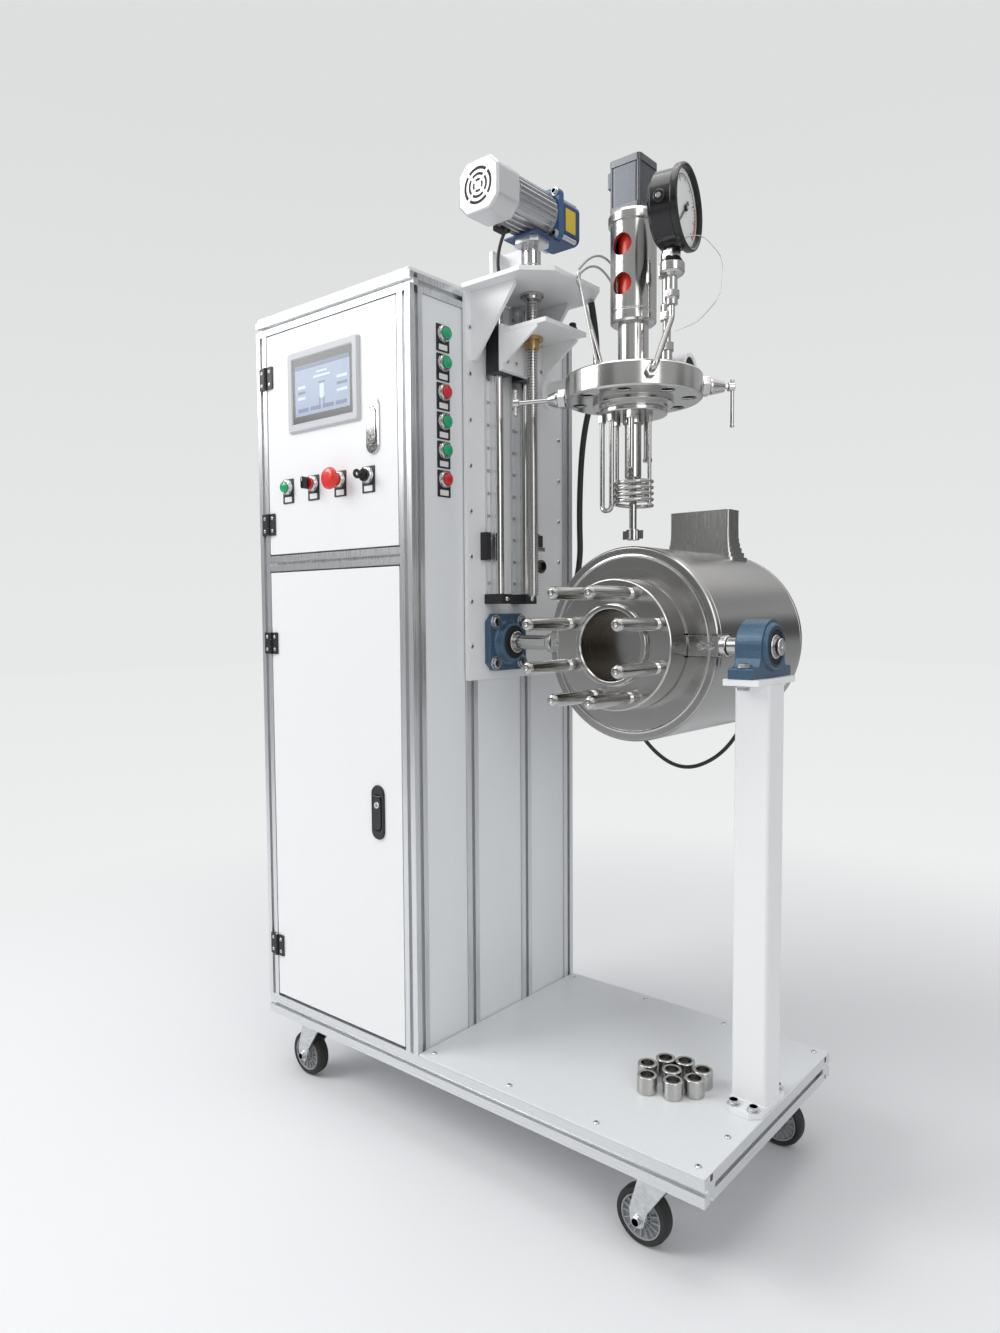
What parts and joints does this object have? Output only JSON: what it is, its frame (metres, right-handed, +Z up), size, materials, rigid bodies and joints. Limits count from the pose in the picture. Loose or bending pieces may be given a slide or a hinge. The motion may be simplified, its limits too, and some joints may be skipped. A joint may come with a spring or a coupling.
{
  "type": "high pressure reactor",
  "caption": "Motor-lifted stirred high pressure reactor: control cabinet on a wheeled base, raised lid head with gauge and servo, and a heated vessel tilted forward on trunnions.",
  "frame": {"origin": "on the floor under the middle of the machine's width and depth", "axes": "+X to the machine's right, +Y to its back, +Z up; the doors and the tilted vessel's mouth face -Y"},
  "size_m": [0.975, 0.6503, 1.678],
  "materials": {
    "profile": "satin anodised",
    "white_sheet": "semi-gloss powder coat",
    "zinc": "zinc plated",
    "stainless": "fine brushed",
    "bright": "polished",
    "black": "matte",
    "grey_plastic": "satin",
    "tyre": "matte",
    "blue_cast": "painted",
    "motor_grey": "painted",
    "dark_motor": "painted",
    "green": "translucent",
    "red": "glossy",
    "black_metal": "anodised"
  },
  "bodies": {
    "base": {"base_rails": "profile", "deck_plate": "stainless", "cabinet_frame": "profile", "cabinet_panels": "white_sheet", "screws": "zinc", "hinge_leaves": "bright", "lift_plate": "white_sheet", "lift_bracket": "white_sheet", "gear_motor": "motor_grey", "linear_guide": "bright", "bearing_housings": "blue_cast", "support_post": "white_sheet", "closure_nuts": "stainless", "caster_plates": "zinc", "side_bezels": "black", "control_gear": "grey_plastic", "motor_lead": "black", "lift_cable": "black", "heater_cable": "black"},
    "upper_door_body": {"upper_door": "white_sheet", "touch_panel": "grey_plastic", "front_bezels": "black"},
    "lower_door_body": {"lower_door": "white_sheet"},
    "lift": {"carriage": "white_sheet", "lid_flange": "stainless", "drive_housing": "stainless", "servo_motor": "dark_motor", "pressure_gauge": "black_metal", "lid_fittings": "stainless", "head_internals": "stainless", "sensor_leads": "black"},
    "vessel": {"vessel_body": "stainless", "heating_jacket": "stainless", "closure_studs": "stainless", "trunnions": "stainless"},
    "upper_latch_body": {"upper_latch": "bright"},
    "lower_latch_body": {"lower_latch": "bright"},
    "start_button_body": {"start_button": "green"},
    "selector_knob_body": {"selector_knob": "black"},
    "emergency_stop_body": {"emergency_stop": "red"},
    "switch_key_body": {"switch_key": "bright"},
    "side_button_1_body": {"side_button_1": "green"},
    "side_button_2_body": {"side_button_2": "red"},
    "side_button_3_body": {"side_button_3": "green"},
    "side_button_4_body": {"side_button_4": "red"},
    "side_button_5_body": {"side_button_5": "green"},
    "side_button_6_body": {"side_button_6": "red"},
    "caster_fork_1_body": {"caster_fork_1": "zinc"},
    "caster_fork_2_body": {"caster_fork_2": "zinc"},
    "caster_fork_3_body": {"caster_fork_3": "zinc"},
    "caster_fork_4_body": {"caster_fork_4": "zinc"},
    "caster_wheel_1_body": {"caster_wheel_1": "tyre"},
    "caster_wheel_2_body": {"caster_wheel_2": "tyre"},
    "caster_wheel_3_body": {"caster_wheel_3": "tyre"},
    "caster_wheel_4_body": {"caster_wheel_4": "tyre"},
    "lead_screw_body": {"lead_screw": "bright"},
    "gauge_needle_body": {"gauge_needle": "black_metal"},
    "vent_valve_handle_body": {"vent_valve_handle": "stainless"},
    "gas_valve_handle_body": {"gas_valve_handle": "stainless"},
    "stirrer_body": {"stirrer": "stainless"}
  },
  "joints": [
    {"name": "vessel_tilt", "type": "hinge", "parent": "base", "child": "vessel", "pos_m": [0.231, -0.039, 0.876], "axis": [-1, 0, 0], "range_deg": [0, 90], "deforming": ["heater_cable"]},
    {"name": "lift_travel", "type": "slide", "parent": "base", "child": "lift", "axis": [0, 0, 1], "range_m": [-0.004, 0.05]},
    {"name": "screw_turn", "type": "hinge", "parent": "base", "child": "lead_screw_body", "pos_m": [0.021, -0.039, 1.2], "axis": [0, 0, 1], "range_deg": [-144, 1800]},
    {"name": "stirrer_spin", "type": "hinge", "parent": "lift", "child": "stirrer_body", "pos_m": [0.231, -0.039, 1.3], "axis": [0, 0, 1], "continuous": true},
    {"name": "gauge_reading", "type": "hinge", "parent": "lift", "child": "gauge_needle_body", "pos_m": [0.314, -0.103, 1.53], "axis": [-0.9848, -0.1736, 0], "range_deg": [0, 270], "stiffness_Nm_per_rad": 0.006},
    {"name": "gas_valve_turn", "type": "hinge", "parent": "lift", "child": "gas_valve_handle_body", "pos_m": [0.3102, 0.0402, 1.301], "axis": [0.7071, 0.7071, 0], "range_deg": [0, 720]},
    {"name": "vent_valve_turn", "type": "hinge", "parent": "lift", "child": "vent_valve_handle_body", "pos_m": [0.12575, -0.0773, 1.289], "axis": [-0.9397, -0.342, 0], "range_deg": [0, 720]},
    {"name": "upper_door_swing", "type": "hinge", "parent": "base", "child": "upper_door_body", "pos_m": [-0.4537, -0.2689, 1.25], "axis": [0, 0, -1], "range_deg": [0, 110]},
    {"name": "lower_door_swing", "type": "hinge", "parent": "base", "child": "lower_door_body", "pos_m": [-0.4537, -0.2689, 0.6], "axis": [0, 0, -1], "range_deg": [0, 110]},
    {"name": "upper_latch_pull", "type": "hinge", "parent": "upper_door_body", "child": "upper_latch_body", "pos_m": [-0.151, -0.2678, 1.282], "axis": [-1, 0, 0], "range_deg": [0, 40]},
    {"name": "lower_latch_pull", "type": "hinge", "parent": "lower_door_body", "child": "lower_latch_body", "pos_m": [-0.151, -0.2678, 0.607], "axis": [-1, 0, 0], "range_deg": [0, 40]},
    {"name": "start_press", "type": "slide", "parent": "upper_door_body", "child": "start_button_body", "axis": [0, 1, 0], "range_m": [0, 0.004], "stiffness_N_per_m": 400, "springref_m": -0.001},
    {"name": "selector_turn", "type": "hinge", "parent": "upper_door_body", "child": "selector_knob_body", "pos_m": [-0.3155, -0.275, 1.17], "axis": [0, 1, 0], "range_deg": [-45, 45]},
    {"name": "stop_press", "type": "slide", "parent": "upper_door_body", "child": "emergency_stop_body", "axis": [0, 1, 0], "range_m": [0, 0.004]},
    {"name": "key_turn", "type": "hinge", "parent": "upper_door_body", "child": "switch_key_body", "pos_m": [-0.1645, -0.275, 1.17], "axis": [0, 1, 0], "range_deg": [0, 90]},
    {"name": "side_button_1_press", "type": "slide", "parent": "base", "child": "side_button_1_body", "axis": [-1, 0, 0], "range_m": [0, 0.004], "stiffness_N_per_m": 400, "springref_m": -0.001},
    {"name": "side_button_2_press", "type": "slide", "parent": "base", "child": "side_button_2_body", "axis": [-1, 0, 0], "range_m": [0, 0.004], "stiffness_N_per_m": 400, "springref_m": -0.001},
    {"name": "side_button_3_press", "type": "slide", "parent": "base", "child": "side_button_3_body", "axis": [-1, 0, 0], "range_m": [0, 0.004], "stiffness_N_per_m": 400, "springref_m": -0.001},
    {"name": "side_button_4_press", "type": "slide", "parent": "base", "child": "side_button_4_body", "axis": [-1, 0, 0], "range_m": [0, 0.004], "stiffness_N_per_m": 400, "springref_m": -0.001},
    {"name": "side_button_5_press", "type": "slide", "parent": "base", "child": "side_button_5_body", "axis": [-1, 0, 0], "range_m": [0, 0.004], "stiffness_N_per_m": 400, "springref_m": -0.001},
    {"name": "side_button_6_press", "type": "slide", "parent": "base", "child": "side_button_6_body", "axis": [-1, 0, 0], "range_m": [0, 0.004], "stiffness_N_per_m": 400, "springref_m": -0.001},
    {"name": "caster_swivel_1", "type": "hinge", "parent": "base", "child": "caster_fork_1_body", "pos_m": [-0.39, -0.218, 0.1], "axis": [0, 0, 1], "continuous": true},
    {"name": "wheel_turn_1", "type": "hinge", "parent": "caster_fork_1_body", "child": "caster_wheel_1_body", "pos_m": [-0.416, -0.218, 0.043], "axis": [0, 1, 0], "continuous": true},
    {"name": "caster_swivel_2", "type": "hinge", "parent": "base", "child": "caster_fork_2_body", "pos_m": [0.39, -0.218, 0.1], "axis": [0, 0, 1], "continuous": true},
    {"name": "wheel_turn_2", "type": "hinge", "parent": "caster_fork_2_body", "child": "caster_wheel_2_body", "pos_m": [0.364, -0.218, 0.043], "axis": [0, 1, 0], "continuous": true},
    {"name": "caster_swivel_3", "type": "hinge", "parent": "base", "child": "caster_fork_3_body", "pos_m": [-0.39, 0.148, 0.1], "axis": [0, 0, 1], "continuous": true},
    {"name": "wheel_turn_3", "type": "hinge", "parent": "caster_fork_3_body", "child": "caster_wheel_3_body", "pos_m": [-0.416, 0.148, 0.043], "axis": [0, 1, 0], "continuous": true},
    {"name": "caster_swivel_4", "type": "hinge", "parent": "base", "child": "caster_fork_4_body", "pos_m": [0.39, 0.148, 0.1], "axis": [0, 0, 1], "continuous": true},
    {"name": "wheel_turn_4", "type": "hinge", "parent": "caster_fork_4_body", "child": "caster_wheel_4_body", "pos_m": [0.416, 0.148, 0.043], "axis": [0, 1, 0], "continuous": true}
  ],
  "couplings": [
    {"joint": "screw_turn", "follows": "lift_travel", "rad_per_m": 628.32}
  ]
}
